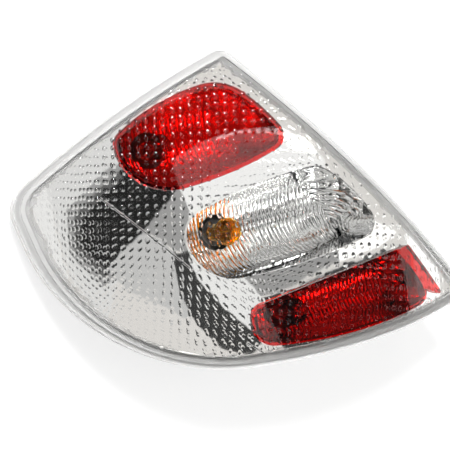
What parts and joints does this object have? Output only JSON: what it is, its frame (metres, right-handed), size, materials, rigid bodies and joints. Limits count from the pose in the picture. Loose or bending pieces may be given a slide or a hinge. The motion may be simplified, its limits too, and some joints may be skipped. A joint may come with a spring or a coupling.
{
  "type": "tail light cluster",
  "caption": "Wrap-around rear lamp cluster: clear dimpled lens over a mirror bezel, fluted chambers, red inserts, amber bulb and a studded grey housing.",
  "frame": {"origin": "on the ground plane under the middle of the lamp, which lies on its back on its stud ends", "axes": "+X along the lamp chambers, away from the wrap-around end; +Y across the chambers, towards the upper corner; +Z out through the lens"},
  "size_m": [0.3941, 0.2857, 0.137],
  "materials": {
    "clear_lens": "clear moulded plastic with a dimpled surface",
    "red_lens": "clear red moulded plastic",
    "mirror_bezel": "vacuum-metallised plastic, mirror bright",
    "reflector": "vacuum-metallised plastic, fluted",
    "grey_housing": "light grey moulded plastic, slightly satin",
    "pale_sealant": "pale translucent sealing bead",
    "carrier_plastic": "moulded, satin",
    "black_foam": "closed-cell foam",
    "clear_bulb_glass": "clear glass",
    "amber_bulb_glass": "amber coated glass",
    "bulb_cap_brass": "plain brass",
    "filament_steel": "drawn wire and glass stem",
    "contact_brass": "stamped strip",
    "pin_steel": "tinned blades",
    "stud_steel": "zinc plated thread",
    "vent_plastic": "moulded cap"
  },
  "bodies": {
    "root": {"outer_lens": "clear_lens", "red_lens_upper": "red_lens", "red_lens_lower": "red_lens", "bezel": "mirror_bezel", "reflector_upper": "reflector", "reflector_middle": "reflector", "reflector_lower": "reflector", "rear_housing": "grey_housing", "lens_seal": "pale_sealant", "bulb_carrier": "carrier_plastic", "carrier_gasket": "black_foam", "mounting_gasket": "black_foam", "tail_bulb_glass": "clear_bulb_glass", "tail_bulb_cap": "bulb_cap_brass", "tail_bulb_filament": "filament_steel", "turn_bulb_glass": "amber_bulb_glass", "turn_bulb_cap": "bulb_cap_brass", "turn_bulb_filament": "filament_steel", "fog_bulb_glass": "clear_bulb_glass", "fog_bulb_cap": "bulb_cap_brass", "fog_bulb_filament": "filament_steel", "ground_strip": "contact_brass", "feed_strips": "contact_brass", "connector_pins": "pin_steel", "mounting_studs": "stud_steel", "vent_cap": "vent_plastic"}
  },
  "joints": []
}
